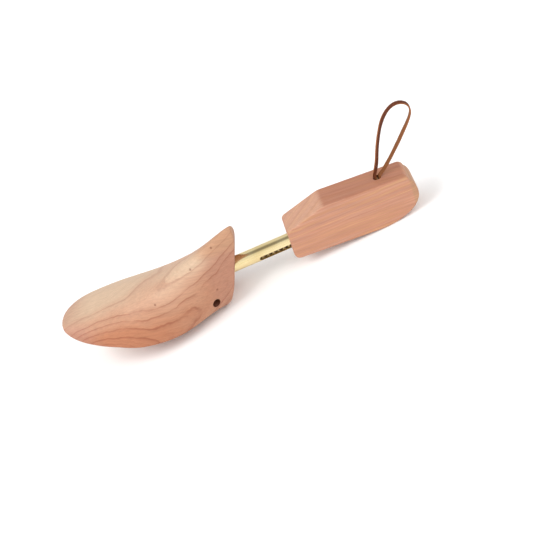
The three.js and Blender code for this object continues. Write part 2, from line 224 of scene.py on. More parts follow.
def turned(name, profile, matrix, sides=64):
    """A profile of (x, radius) turned round the X axis; its ends are flat discs."""
    angles = np.linspace(0, 2 * np.pi, sides, endpoint=False)
    rings = [
        np.stack([np.full(sides, x), r * np.cos(angles), r * np.sin(angles)], axis=1)
        for x, r in profile
    ]
    return lofted(name, rings, matrix)


def rod_profile(start, end, radius, edge):
    """A rod along X with its end edges eased."""
    steps = np.linspace(0, np.pi / 2, 4)
    near = [(start + edge * (1 - np.sin(a)), radius - edge * (1 - np.cos(a))) for a in steps[::-1]]
    far = [(end - x + start, r) for x, r in near[::-1]]
    return near + far


def pointing(origin, direction, matrix):
    """The frame at origin, in millimetres in the frame of matrix, whose +X is direction."""
    turn = Vector(direction).to_track_quat("X", "Z").to_matrix().to_4x4()
    return matrix @ Matrix.Translation(Vector(origin) * MM) @ turn


def carve(obj, *tools):
    """Cuts the tools out of obj and removes them."""
    for tool in tools:
        cut = obj.modifiers.new("cut", "BOOLEAN")
        cut.operation = "DIFFERENCE"
        cut.solver = "EXACT"
        cut.object = tool
    apply_modifiers(obj)
    for tool in tools:
        bpy.data.objects.remove(tool)


def apply_modifiers(obj):
    bpy.context.view_layer.update()
    shaped = obj.evaluated_get(bpy.context.evaluated_depsgraph_get())
    mesh = bpy.data.meshes.new_from_object(shaped)
    obj.modifiers.clear()
    obj.data = mesh


def shade(obj, sharp=40, weighted=False):
    obj.data.shade_smooth()
    obj.data.set_sharp_from_angle(angle=math.radians(sharp))
    if weighted:
        normals = obj.modifiers.new("normals", "WEIGHTED_NORMAL")
        normals.mode = "FACE_AREA"
        normals.weight = 100
        normals.keep_sharp = True


def finish_piece(obj, body, slot, material, *nodes):
    obj.data.materials.clear()
    obj.data.materials.append(material)
    # each point's place in the piece's own frame, in millimetres, for its material
    own = np.array(frame_of[obj.name].inverted())
    points = np.empty(len(obj.data.vertices) * 3, np.float32)
    obj.data.vertices.foreach_get("co", points)
    points = (points.reshape(-1, 3) @ own[:3, :3].T + own[:3, 3]) / MM
    place = obj.data.attributes.new("place", "FLOAT_VECTOR", "POINT")
    place.data.foreach_set("vector", points.astype(np.float32).ravel())
    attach(obj, body)
    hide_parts(*nodes)
    return obj


def catmull_rom(p0, p1, p2, p3, w):
    a, b = (p2 - p0) / 2, (p3 - p1) / 2
    return ((2 * (p1 - p2) + a + b) * w + (3 * (p2 - p1) - 2 * a - b)) * w * w + a * w + p1


def curve_through(values):
    """A smooth curve through values at equal steps, read at a step that need not be whole."""
    values = [float(v) for v in values]
    last = len(values) - 1

    def at(step):
        i = min(int(step), last)
        near = [values[min(max(k, 0), last)] for k in range(i - 1, i + 3)]
        return catmull_rom(*near, step - i)

    return at


# ---------------------------------------------------------------- leather loop
# From the hole's mouth, in the heel block's frame: back, left, up.
LOOP_ROUTE = [
    (-STRAND_OFFSET, 0, -11),
    (-STRAND_OFFSET, 0, -3),
    (-1.2, 0, 3),
    (3, 0.2, 14),
    (7, 0.3, 28),
    (11.2, 0.4, 40),
    (15, 0.4, 48.6),
    (19, 0.4, 55),
    (23.6, 0.3, 59.6),
    (28.2, 0.2, 62),
    (32.4, 0.1, 62.3),
    (36.2, 0, 61),
    (39, -0.1, 58.4),
    (40.4, -0.2, 54.6),
    (40.2, -0.3, 50.2),
    (38, -0.3, 45.2),
    (34.7, -0.3, 40.1),
    (30.4, -0.2, 34.3),
    (25.2, -0.2, 27.2),
    (20.2, -0.2, 20.8),
    (15.2, -0.1, 14.6),
    (10.6, 0, 9.4),
    (6.5, 0, 5),
    (2.6, 0, 1.2),
    (STRAND_OFFSET, 0, -3),
    (STRAND_OFFSET, 0, -11),
]
# How far the lace has turned about its own length, in degrees: share of its length, turn.
LACE_TWIST = [
    (0, 0),
    (0.045, 0),
    (0.09, 95),
    (0.2, 118),
    (0.34, 112),
    (0.42, 70),
    (0.5, 18),
    (0.6, -4),
    (0.7, -34),
    (0.8, -52),
    (0.9, -70),
    (0.955, 0),
    (1, 0),
]
LACE_RINGS = 200


def spaced_route(points, count):
    """A smooth curve through the points, at equal distances along it."""
    points = np.asarray(points, float)
    ends = np.concatenate([[2 * points[0] - points[1]], points, [2 * points[-1] - points[-2]]])
    fine = np.array(
        [
            catmull_rom(*ends[i : i + 4], w)
            for i in range(len(points) - 1)
            for w in np.linspace(0, 1, 24, endpoint=False)
        ]
        + [points[-1]]
    )
    along = np.concatenate([[0], np.cumsum(np.linalg.norm(np.diff(fine, axis=0), axis=1))])
    at = np.linspace(0, along[-1], count)
    return np.stack([np.interp(at, along, fine[:, k]) for k in range(3)], axis=1), along[-1]


def lace_section():
    """The lace cut across: a strip with its long edges slightly eased, as (width, thickness)."""
    w, t, edge = LACE_WIDTH / 2, LACE_THICKNESS / 2, 0.28
    points = []
    for sw, st, start in ((1, 1, 0), (-1, 1, 90), (-1, -1, 180), (1, -1, 270)):
        for a in np.radians(np.linspace(start, start + 90, 5)):
            points.append(
                (sw * (w - edge) + edge * math.cos(a), st * (t - edge) + edge * math.sin(a))
            )
        # points along the side, so that the face can be bowed
        if start in (0, 180):
            for share in np.linspace(0, 1, 8)[1:-1]:
                points.append((sw * (w - edge) * (1 - 2 * share), st * t))
    return points


def make_loop(material):
    mouth = np.array([-LOOP_HOLE_U, 0, HEEL_HEIGHT - HEEL_TUBE_HEIGHT])
    route = [mouth + (-back, left, up) for back, left, up in LOOP_ROUTE]
    line, length = spaced_route(route, LACE_RINGS)
    tangent = np.gradient(line, axis=0)
    tangent /= np.linalg.norm(tangent, axis=1)[:, None]
    shares = np.linspace(0, 1, LACE_RINGS)
    twist = np.radians(np.interp(shares, *zip(*LACE_TWIST)))
    kernel = np.hanning(15) / np.hanning(15).sum()
    twist = np.convolve(np.pad(twist, 7, mode="edge"), kernel, mode="valid")
    section = lace_section()
    wander = np.random.default_rng(7).normal(0, 1, (LACE_RINGS, 2))
    soft = np.hanning(21) / np.hanning(21).sum()
    wander = np.stack([np.convolve(wander[:, k], soft, mode="same") for k in range(2)], axis=1)
    rings, along_faces = [], []
    for p, t, turn, (dw, dt) in zip(line, tangent, twist, wander):
        left = np.array([0.0, 1.0, 0.0])
        left -= t * (left @ t)
        left /= np.linalg.norm(left)
        out = np.cross(t, left)
        wide = left * math.cos(turn) + out * math.sin(turn)
        thick = np.cross(t, wide)
        rings.append(
            [p + wide * w * (1 + 0.12 * dw) + thick * h * (1 + 0.2 * dt) for w, h in section]
        )
        along_faces.append([(w, h) for w, h in section])
    loop = lofted("pull_loop", rings, HEEL)
    # where each point lies across the lace, for its faces and its cut edges
    across = loop.data.attributes.new("across", "FLOAT_VECTOR", "POINT")
    flat = []
    for i, ring in enumerate(along_faces):
        for w, h in ring:
            flat += [w / (LACE_WIDTH / 2), h / (LACE_THICKNESS / 2), shares[i] * length]
    across.data.foreach_set("vector", flat)
    shade(loop, 50)
    finish_piece(loop, "heel_assembly", "leather", material, "leather_loop")
    return loop


# ---------------------------------------------------------------- node trees
class Shader:
    """A material's node tree, and short ways to add to it."""

    def __init__(self, name):
        self.material = bpy.data.materials.new(name)
        self.material.use_nodes = True
        self.tree = self.material.node_tree
        self.surface = next(n for n in self.tree.nodes if n.type == "BSDF_PRINCIPLED")

    def node(self, kind, inputs=None, **settings):
        n = self.tree.nodes.new("ShaderNode" + kind)
        for key, value in settings.items():
            setattr(n, key, value)
        for key, value in (inputs or {}).items():
            self.feed(n.inputs[key], value)
        return n

    def feed(self, socket, value):
        if isinstance(value, bpy.types.NodeSocket):
            self.tree.links.new(value, socket)
        else:
            socket.default_value = value

    def set(self, **values):
        for key, value in values.items():
            self.feed(self.surface.inputs[key.replace("_", " ")], value)

    def math(self, operation, *values, clamp=False):
        n = self.node("Math", dict(enumerate(values)), operation=operation)
        n.use_clamp = clamp
        return n.outputs[0]

    def vector(self, operation, *values):
        n = self.node("VectorMath", operation=operation)
        for i, value in enumerate(values):
            self.feed(n.inputs[3 if operation == "SCALE" and i else i], value)
        return n.outputs[1 if operation in ("LENGTH", "DOT_PRODUCT", "DISTANCE") else 0]

    def place(self):
        """The piece's own coordinates, in millimetres."""
        return self.node("Attribute", attribute_name="place").outputs["Vector"]

    def stretched(self, at, scale, turn=(0, 0, 0), move=(0, 0, 0)):
        n = self.node("Mapping", {"Vector": at, "Scale": scale, "Rotation": turn, "Location": move})
        return n.outputs[0]

    def noise(self, at, scale=1.0, detail=2.0, roughness=0.5, distortion=0.0, output=0):
        n = self.node(
            "TexNoise",
            {
                "Vector": at,
                "Scale": scale,
                "Detail": detail,
                "Roughness": roughness,
                "Distortion": distortion,
            },
        )
        return n.outputs[output]

    def ramp(self, value, *stops, smooth=False):
        n = self.node("ValToRGB", {0: value})
        n.color_ramp.interpolation = "EASE" if smooth else "LINEAR"
        points = n.color_ramp.elements
        while len(points) < len(stops):
            points.new(0.5)
        for point, (position, color) in zip(points, stops):
            point.position = position
            point.color = (*color, 1) if hasattr(color, "__len__") else (color,) * 3 + (1,)
        return n.outputs[0]

    def span(self, value, low, high, to_low=0.0, to_high=1.0):
        """Value between low and high, smoothly made to_low to to_high."""
        n = self.node(
            "MapRange",
            {0: value, 1: low, 2: high, 3: to_low, 4: to_high},
            interpolation_type="SMOOTHSTEP",
        )
        return n.outputs[0]

    def mix(self, share, a, b, blend="MIX"):
        n = self.node("Mix", data_type="RGBA", blend_type=blend)
        self.feed(n.inputs[0], share)
        for socket, value in ((n.inputs[6], a), (n.inputs[7], b)):
            self.feed(socket, (*value, 1) if isinstance(value, tuple) else value)
        return n.outputs[2]

    def bump(self, height, strength, distance):
        n = self.node("Bump", {"Height": height, "Strength": strength, "Distance": distance})
        self.set(Normal=n.outputs[0])


def srgb(r, g, b):
    """An sRGB colour of 0 to 255, as the linear numbers that nodes use."""
    return tuple(
        c / 12.92 if c <= 0.04045 else ((c + 0.055) / 1.055) ** 2.4
        for c in (r / 255, g / 255, b / 255)
    )


# ---------------------------------------------------------------- materials
def cedar(name, pith, lines, tones, line_color, holes, waver, seed=0.0, contrast=0.6):
    """Aromatic red cedar. The growth rings are round the pith, whose (y, z) at x in the piece's frame
    is pith(s, x). Lines are the dark ones' distances to the pith with their strengths, tones gives the
    wood's colour from the place and the distance, and holes are the drilled ones, whose walls are
    painted dark as painted shade, as the middle of the bottom, the direction out and the radius."""
    s = Shader(name)
    at = s.place()
    shifted = s.vector("ADD", at, (seed, seed * 0.7, seed * 1.3))

    def centred(scale, amount, detail=2):
        n = s.noise(s.stretched(shifted, scale), 1, detail, output=1)
        return s.vector("SCALE", s.vector("SUBTRACT", n, (0.5, 0.5, 0.5)), amount)

    bent = s.vector("ADD", at, centred((0.022, 0.022, 0.022), waver * 12))
    bent = s.vector("ADD", bent, centred((0.075, 0.06, 0.06), waver * 4.5, 3))
    _, y, z = s.node("SeparateXYZ", {0: bent}).outputs
    pith_y, pith_z = pith(s, s.node("SeparateXYZ", {0: at}).outputs[0])
    dy, dz = s.math("SUBTRACT", y, pith_y), s.math("SUBTRACT", z, pith_z)
    radius = s.vector("LENGTH", s.node("CombineXYZ", {1: dy, 2: dz}).outputs[0])

    broken = s.noise(s.stretched(shifted, (0.03, 0.07, 0.07)), 1, 3)
    span = lines[-1][0] + 4
    stops = [(0.0, 0.0)]
    for distance, strength in lines:
        for offset, share in ((-1.7, 0.0), (-0.5, 0.35), (-0.08, 1.0), (0.22, 0.9), (0.5, 0.0)):
            stops.append(((distance + offset) / span, strength * share))
    late = s.ramp(s.math("MULTIPLY", radius, 1 / span), *stops)
    late = s.math("MULTIPLY", late, s.span(broken, 0.32, 0.56, 0.25, 1.0))
    # faint rings between them
    faint = s.node("CombineXYZ", {0: s.math("MULTIPLY", radius, 0.55), 1: seed}).outputs[0]
    faint = s.noise(faint, 1, 3, 0.65)
    faint = s.math("MULTIPLY", s.span(faint, 0.48, 0.68), s.span(broken, 0.62, 0.4, 0.15, 0.8))
    # fibres
    fibre = s.noise(s.stretched(shifted, (0.03, 0.75, 0.75)), 1, 4, 0.65)
    fine = s.noise(s.stretched(shifted, (0.16, 4.0, 4.0)), 1, 2, 0.6)
    cloud = s.noise(s.stretched(shifted, (0.02, 0.05, 0.05)), 1, 3)
    color = tones(s, at, radius, cloud)
    color = s.mix(s.math("MULTIPLY", faint, 0.4 * contrast), color, line_color)
    color = s.mix(s.math("MULTIPLY", late, contrast), color, line_color)
    color = s.mix(0.75, color, s.ramp(fibre, (0.25, 0.8), (0.75, 1.14)), "MULTIPLY")
    color = s.mix(0.4, color, s.ramp(fine, (0.3, 0.86), (0.7, 1.08)), "MULTIPLY")
    # painted shade: the walls of the drilled holes are painted dark, for the shade inside them
    for bottom, out, hole_radius in holes:
        from_bottom = s.vector("SUBTRACT", at, bottom)
        off_axis = s.vector("LENGTH", s.vector("CROSS_PRODUCT", from_bottom, out))
        inside = s.math("LESS_THAN", off_axis, hole_radius + 0.03)
        above = s.math("GREATER_THAN", s.vector("DOT_PRODUCT", from_bottom, out), -0.1)
        color = s.mix(s.math("MULTIPLY", inside, above), color, srgb(84, 42, 24))
    s.set(Base_Color=color)
    rough = s.math("ADD", s.span(fibre, 0.3, 0.7, 0.52, 0.62), s.math("MULTIPLY", late, -0.06))
    s.set(Roughness=rough, IOR=1.45, Specular_IOR_Level=0.3)
    height = s.math("ADD", s.math("MULTIPLY", fibre, 0.6), s.math("MULTIPLY", fine, 0.4))
    height = s.math("ADD", height, s.math("MULTIPLY", late, 0.35))
    s.bump(height, 0.25, 0.0001)
    return s.material


def toe_pith(s, x):
    """The pith runs from the outer side at the back to under the inner side at the toe."""
    along = s.math("SUBTRACT", x, 60)
    y = s.math("ADD", s.math("MULTIPLY", along, 0.35), 13.6)
    z = s.math("ADD", s.math("MULTIPLY", along, -0.42), 8.5)
    square = s.math("MULTIPLY", along, along)
    return y, s.math("ADD", z, s.math("MULTIPLY", square, 0.0038))


WOOD_LIGHT = 0.72  # how dark the wood's colours are made for the studio's light


def wood(r, g, b):
    return tuple(c * WOOD_LIGHT * tint for c, tint in zip(srgb(r, g, b), (1, 0.985, 0.93)))


FLECKS = [(13.7, 16.5, 75.8), (33.2, 20.4, 61.8), (14.1, 19.7, 36.6), (66.0, 24.0, 38.0)]


def toe_tones(s, at, radius, cloud):
    """Orange heartwood low down, paler and pinker higher up, and cream along the ridge."""
    radius = s.math("ADD", radius, s.math("MULTIPLY", s.math("SUBTRACT", cloud, 0.5), 12))
    share = s.math("MULTIPLY", radius, 1 / 60)
    color = s.ramp(
        share,
        (0.1, wood(198, 130, 98)),
        (0.34, wood(203, 137, 104)),
        (0.42, wood(208, 150, 120)),
        (0.5, wood(212, 160, 132)),
        (0.6, wood(222, 176, 150)),
        (0.74, wood(230, 198, 172)),
        (0.9, wood(233, 202, 176)),
    )
    x, _, z = s.node("SeparateXYZ", {0: at}).outputs
    # pinker towards the back, tan at the peak, and pinker again round the toe
    back = s.math("ADD", x, s.math("MULTIPLY", cloud, 30))
    color = s.mix(s.span(back, 46, 20, 0, 0.8), color, wood(201, 146, 124))
    peak = s.math("SUBTRACT", z, s.math("MULTIPLY", cloud, 14))
    color = s.mix(s.span(peak, 56, 68, 0, 0.85), color, wood(213, 164, 132))
    front = s.math("ADD", x, s.math("MULTIPLY", cloud, 26))
    low = s.span(z, 26, 14)
    color = s.mix(s.math("MULTIPLY", s.span(front, 122, 146, 0, 0.7), low), color, wood(196, 140, 122))
    for fleck in FLECKS:
        near = s.vector("MULTIPLY", s.vector("SUBTRACT", at, fleck), (0.75, 0.3, 0.75))
        color = s.mix(s.span(s.vector("LENGTH", near), 1.0, 0.4, 0, 0.55), color, wood(120, 62, 44))
    return color


def heel_pith(s, x):
    return -62.0, s.math("ADD", s.math("MULTIPLY", x, -0.06), -96)


def heel_tones(s, at, radius, cloud):
    """Straight bands of orange and pink. The top is painted browner and darker as painted shade, and
    the slope at the front is painted paler, partly its own paler tone and partly painted light.
    """
    band = s.noise(s.node("CombineXYZ", {0: s.math("MULTIPLY", radius, 0.42)}).outputs[0], 1, 3, 0.7)
    band = s.math("ADD", band, s.math("MULTIPLY", s.math("SUBTRACT", cloud, 0.5), 0.3))
    color = s.ramp(
        band,
        (0.28, wood(236, 188, 150)),
        (0.42, wood(220, 164, 128)),
        (0.5, wood(216, 154, 128)),
        (0.58, wood(222, 168, 144)),
        (0.72, wood(196, 132, 112)),
    )
    x, _, z = s.node("SeparateXYZ", {0: at}).outputs
    top = HEEL_HEIGHT - HEEL_TUBE_HEIGHT
    # painted shade: the top face is made darker and browner, mostly for the shade on it and partly its
    # own browner tone
    color = s.mix(s.span(z, top - 1.3, top, 0, 0.7), color, wood(186, 125, 100))
    # painted light: the slope at the front is made paler, partly its own paler tone and partly painted
    # light from the key side
    slope = (HEEL_HEIGHT - HEEL_FRONT_HEIGHT) / HEEL_CHAMFER_END
    plane = s.math("ADD", s.math("MULTIPLY", x, slope), z)
    front = HEEL_FRONT_HEIGHT - HEEL_TUBE_HEIGHT
    slope_tone_and_light = s.math("MULTIPLY", s.span(plane, front - 1.1, front - 0.2), s.span(x, -35, -30))
    color = s.mix(s.math("MULTIPLY", slope_tone_and_light, 0.6), color, wood(222, 176, 152))
    # the back is paler and greener
    return s.mix(s.span(x, -103.5, -105.5, 0, 0.5), color, wood(196, 158, 120))


def dark_hardwood():
    s = Shader("hardwood")
    at = s.place()
    fibre = s.noise(s.stretched(at, (0.15, 1.6, 1.6)), 1, 4, 0.6)
    color = s.ramp(fibre, (0.3, srgb(112, 74, 46)), (0.7, srgb(158, 112, 74)))
    s.set(Base_Color=color, Roughness=s.span(fibre, 0.3, 0.7, 0.5, 0.7))
    s.bump(fibre, 0.3, 0.0002)
    return s.material


def brass():
    s = Shader("brass")
    at = s.place()
    drawn = s.noise(s.stretched(at, (0.02, 3.0, 3.0)), 1, 3, 0.6)
    cloud = s.noise(s.stretched(at, (0.05, 0.15, 0.15)), 1, 3)
    color = s.mix(s.span(cloud, 0.35, 0.65), srgb(222, 200, 148), srgb(232, 214, 166))
    rough = s.math("ADD", s.span(cloud, 0.3, 0.7, 0.1, 0.16), s.math("MULTIPLY", drawn, 0.06))
    s.set(Base_Color=color, Metallic=1.0, Roughness=rough)
    s.bump(drawn, 0.05, 0.00005)
    return s.material


def steel(name, light, dark, rough):
    s = Shader(name)
    at = s.place()
    drawn = s.noise(s.stretched(at, (0.6, 0.6, 0.6)), 1, 4, 0.6)
    color = s.ramp(drawn, (0.3, dark), (0.7, light))
    s.set(Base_Color=color, Metallic=1.0, Roughness=s.span(drawn, 0.3, 0.7, rough, rough + 0.15))
    s.bump(drawn, 0.1, 0.0001)
    return s.material


def leather():
    """A vegetable-tanned lace: a dark face, a lighter flesh side and orange raw edges."""
    s = Shader("leather")
    across = s.node("Attribute", attribute_name="across").outputs["Vector"]
    w, h, _ = s.node("SeparateXYZ", {0: across}).outputs
    at = s.place()
    grain = s.noise(at, 3.0, 4, 0.6)
    pores = s.node("TexVoronoi", {"Vector": at, "Scale": 4.0}).outputs[0]
    wear = s.noise(at, 0.35, 3)
    face = s.ramp(grain, (0.3, srgb(74, 34, 18)), (0.72, srgb(104, 52, 28)))
    flesh = s.ramp(grain, (0.3, srgb(98, 56, 28)), (0.7, srgb(136, 84, 46)))
    side = s.span(h, -0.55, 0.55)
    color = s.mix(side, face, flesh)
    edge = s.math("ADD", s.math("ABSOLUTE", w), s.math("MULTIPLY", grain, 0.06))
    edge = s.span(edge, 0.86, 0.99)
    color = s.mix(s.math("MULTIPLY", edge, 0.85), color, srgb(146, 88, 44))
    color = s.mix(s.span(wear, 0.55, 0.75, 0, 0.3), color, srgb(124, 70, 38))
    s.set(Base_Color=color, Roughness=s.span(grain, 0.3, 0.7, 0.45, 0.65), Specular_IOR_Level=0.2)
    height = s.math("ADD", s.math("MULTIPLY", grain, 0.6), s.math("MULTIPLY", pores, 0.4))
    s.bump(height, 0.35, 0.00015)
    return s.material


leather_material = leather()
make_loop(leather_material)


# ---------------------------------------------------------------- toe block
STATIONS = 96
PER_QUARTER = 40
EDGE_RINGS = 6


def over(side, tip, other):
    """The outline on one side runs on over the toe's tip into the other side's."""
    return curve_through([*side, tip, *reversed(other)])


inner_at = over(INNER_SIDE, TOE_TIP_Y, OUTER_SIDE)
outer_at = over(OUTER_SIDE, TOE_TIP_Y, INNER_SIDE)
sole_at = over(SOLE, TOE_TIP_Z, TOP)
top_at = over(TOP, TOE_TIP_Z, SOLE)
ridge_at = curve_through([*RIDGE, TOE_TIP_Y])
widest_at = curve_through([*WIDEST, 0])
roundness_at = curve_through(ROUNDNESS)


def quarter(side_y, mid_z, ridge_y, end_z, roundness):
    """One quarter of a section, from (side_y, mid_z) to (ridge_y, end_z)."""
    angle = np.linspace(0, np.pi / 2, PER_QUARTER + 1)
    across = np.cos(angle).clip(0) ** (2 / roundness)
    up = np.sin(angle) ** (2 / roundness)
    return np.stack([ridge_y + (side_y - ridge_y) * across, mid_z + (end_z - mid_z) * up], axis=1)


def toe_section(step):
    inner, outer, sole = inner_at(step), outer_at(step), sole_at(step)
    widest = sole + widest_at(step)
    middle = (inner + outer) / 2
    upper = (widest, ridge_at(step), top_at(step), roundness_at(step))
    lower = (widest, middle, sole, SOLE_ROUNDNESS)
    return np.concatenate(
        [
            quarter(inner, *upper)[:-1],
            quarter(outer, *upper)[::-1][:-1],
            quarter(outer, *lower)[:-1],
            quarter(inner, *lower)[::-1][:-1],
        ]
    )


def inset(section, distance):
    """A closed outline of (y, z) points, moved inwards."""
    ahead, behind = np.roll(section, -1, axis=0), np.roll(section, 1, axis=0)
    run = ahead - behind
    run /= np.maximum(np.linalg.norm(run, axis=1), 1e-9)[:, None]
    inward = np.stack([-run[:, 1], run[:, 0]], axis=1)
    return section + inward * distance


def rear_of(y, z):
    """How far forward the rear face lies at a place on it."""
    above = z > REAR_MIDDLE
    reach = np.where(above, TOP[0], SOLE[0]) - REAR_MIDDLE
    crown = np.where(above, REAR_TOP_CROWN, REAR_SOLE_CROWN) * ((z - REAR_MIDDLE) / reach) ** 4
    return REAR_SKEW * y - REAR_LEAN * z + crown


def eased(section, reach=4.0, count=240):
    """The section with its points at equal distances and its crest rounded over about that reach."""
    closed = np.vstack([section, section[:1]])
    along = np.concatenate([[0], np.cumsum(np.linalg.norm(np.diff(closed, axis=0), axis=1))])
    at = np.linspace(0, along[-1], count, endpoint=False)
    even = np.stack([np.interp(at, along, closed[:, k]) for k in range(2)], axis=1)
    step = along[-1] / count
    offsets = np.arange(-24, 25)
    weights = np.exp(-0.5 * (offsets * step / reach) ** 2)
    soft = sum(w * np.roll(even, -k, axis=0) for k, w in zip(offsets, weights)) / weights.sum()
    # only towards the crest
    height = (even[:, 1] - even[:, 1].min()) / np.ptp(even[:, 1])
    share = np.clip((height - 0.45) / 0.35, 0, 1)[:, None]
    return even + (soft - even) * share


def toe_ring(share, forward, depth):
    section = inset(eased(toe_section(share * len(SOLE))), depth)
    y, z = section.T
    rear = rear_of(y, z)
    return np.stack([rear + forward * (1 - rear / TOE_LENGTH), y, z], axis=1)


def screw_point(distance):
    return Vector((SCREW_X, 0, 0)) + SCREW_DIRECTION * distance


def hole_in(matrix, bottom, out):
    """A hole's bottom and its direction out, moved from the tube's frame into that of matrix."""

    def moved(point):
        return matrix.inverted() @ (ALONG_TUBE @ (Vector(point) * MM)) / MM

    direction = moved(Vector(bottom) + Vector(out)) - moved(bottom)
    return tuple(moved(bottom)), tuple(direction.normalized())


def screw_rod(start, end, radius, sides=48):
    matrix = pointing((SCREW_X, 0, 0), SCREW_DIRECTION, ALONG_TUBE)
    return turned("cutter", [(start, radius), (end, radius)], matrix, sides)


def make_toe_block(material):
    rings = []
    for turn in np.linspace(0, np.pi / 2, EDGE_RINGS, endpoint=False):
        forward = REAR_EDGE * (1 - math.cos(turn))
        share = math.asin(forward / TOE_LENGTH) / (math.pi / 2)
        rings.append(toe_ring(share, forward, REAR_EDGE * (1 - math.sin(turn))))
    first = math.asin(REAR_EDGE / TOE_LENGTH) / (math.pi / 2)
    for share in np.linspace(first, 1, STATIONS, endpoint=False):
        rings.append(toe_ring(share, TOE_LENGTH * math.sin(share * math.pi / 2), 0))
    tip = np.tile([TOE_LENGTH, TOE_TIP_Y, TOE_TIP_Z], (len(rings[0]), 1))
    rings.append(tip + (rings[-1] - tip) * 0.02)
    # the sole is flat where it meets the table, and runs into the flat softly
    shaped = []
    to_row = np.array(TOE)
    for ring in rings:
        row = ring * MM @ to_row[:3, :3].T + to_row[:3, 3]
        soft = 0.4 * MM
        z = row[:, 2]
        row[:, 2] = (z + np.sqrt(z * z + soft * soft)) / 2
        shaped.append((row - to_row[:3, 3]) @ to_row[:3, :3] / MM)
    block = lofted("toe_block_shaped", shaped, TOE)
    bore = turned(
        "cutter",
        [(TOE_START - CUT_THROUGH, TUBE_R + GAP), (TUBE_FRONT + GAP, TUBE_R + GAP)],
        ALONG_TUBE,
        96,
    )
    counterbore = screw_rod(SCREW_SEAT, SCREW_SEAT + CUT_THROUGH, COUNTERBORE_R)
    pilot = screw_rod(0, SCREW_SEAT + GAP, SCREW_SHANK_R + GAP)
    carve(block, bore, counterbore, pilot)
    shade(block, 40, weighted=True)
    return finish_piece(block, "toe_assembly", "cedar", material, "toe_block")


TOE_LINES = [(13, 0.6), (18, 1), (23.5, 1), (28.5, 0.85), (33, 0.8), (41, 0.4)]
# holes whose walls get painted shade in the toe's cedar
TOE_SHADED_HOLES = [
    (*hole_in(TOE, screw_point(SCREW_SEAT), SCREW_DIRECTION), COUNTERBORE_R),
    (*hole_in(TOE, (TUBE_FRONT + GAP, 0, 0), (-1, 0, 0)), TUBE_R + GAP),
]
toe_cedar = cedar(
    "cedar_toe", toe_pith, TOE_LINES, toe_tones, wood(150, 74, 52), TOE_SHADED_HOLES, 0.8
)
make_toe_block(toe_cedar)


# ---------------------------------------------------------------- heel block
PIN_DIRECTION = Vector((0, math.cos(SLOT_TURN), math.sin(SLOT_TURN)))
PIN_REACH = HEEL_WIDTH / 2 / math.cos(SLOT_TURN)


def pin_point(distance):
    return Vector((PIN_X, 0, 0)) + PIN_DIRECTION * distance


def heel_point(u, v):
    return np.array([-u, v - HEEL_TUBE_HEIGHT])


def heel_outline():
    """The outline from the side, as (x, z) points, running up the front face and back over the top."""
    slope = (HEEL_HEIGHT - HEEL_FRONT_HEIGHT) / HEEL_CHAMFER_END

    def chamfer(u):
        return heel_point(u, HEEL_FRONT_HEIGHT + u * slope)

    def line(a, b, step=1.5):
        count = max(1, int(np.linalg.norm(b - a) / step))
        return [a + (b - a) * k / count for k in range(count)]

    def bend(a, corner, b, count=10):
        shares = np.linspace(0, 1, count, endpoint=False)
        return [a * (1 - s) ** 2 + corner * 2 * s * (1 - s) + b * s * s for s in shares]

    front_low = heel_point(-HEEL_NOSE, HEEL_LOW_CORNER)
    front_top = chamfer(-HEEL_NOSE)
    front_high = front_top - (0, HEEL_CORNER)
    slope_low, slope_high = chamfer(HEEL_CORNER - HEEL_NOSE), chamfer(HEEL_CHAMFER_END - HEEL_CORNER)
    top_front = heel_point(HEEL_CHAMFER_END + HEEL_CORNER, HEEL_HEIGHT)
    top_back = heel_point(HEEL_TOP_END - HEEL_TOP_CORNER, HEEL_HEIGHT)
    back_start = heel_point(HEEL_TOP_END + 1, HEEL_HEIGHT - HEEL_TOP_CORNER)
    rearmost = heel_point(HEEL_LENGTH, HEEL_BACK_HEIGHT)
    bottom_front = heel_point(HEEL_LOW_CORNER - HEEL_NOSE, 0)
    points = [
        *line(front_low, front_high),
        *bend(front_high, front_top, slope_low),
        *line(slope_low, slope_high),
        *bend(slope_high, heel_point(HEEL_CHAMFER_END, HEEL_HEIGHT), top_front),
        *line(top_front, top_back),
        *bend(top_back, heel_point(HEEL_TOP_END, HEEL_HEIGHT), back_start),
        *bend(back_start, heel_point(HEEL_LENGTH, HEEL_HEIGHT - HEEL_BACK_BEND), rearmost, 20),
    ]
    centre = heel_point(HEEL_BOTTOM_END, HEEL_BACK_HEIGHT)
    radii = np.array([HEEL_LENGTH - HEEL_BOTTOM_END, HEEL_BACK_HEIGHT])
    for angle in np.linspace(np.pi, 1.5 * np.pi, 40, endpoint=False):
        points.append(centre + radii * (math.cos(angle), math.sin(angle)))
    points += line(heel_point(HEEL_BOTTOM_END, 0), bottom_front)
    points += bend(bottom_front, heel_point(-HEEL_NOSE, 0), front_low)
    return np.array(points)


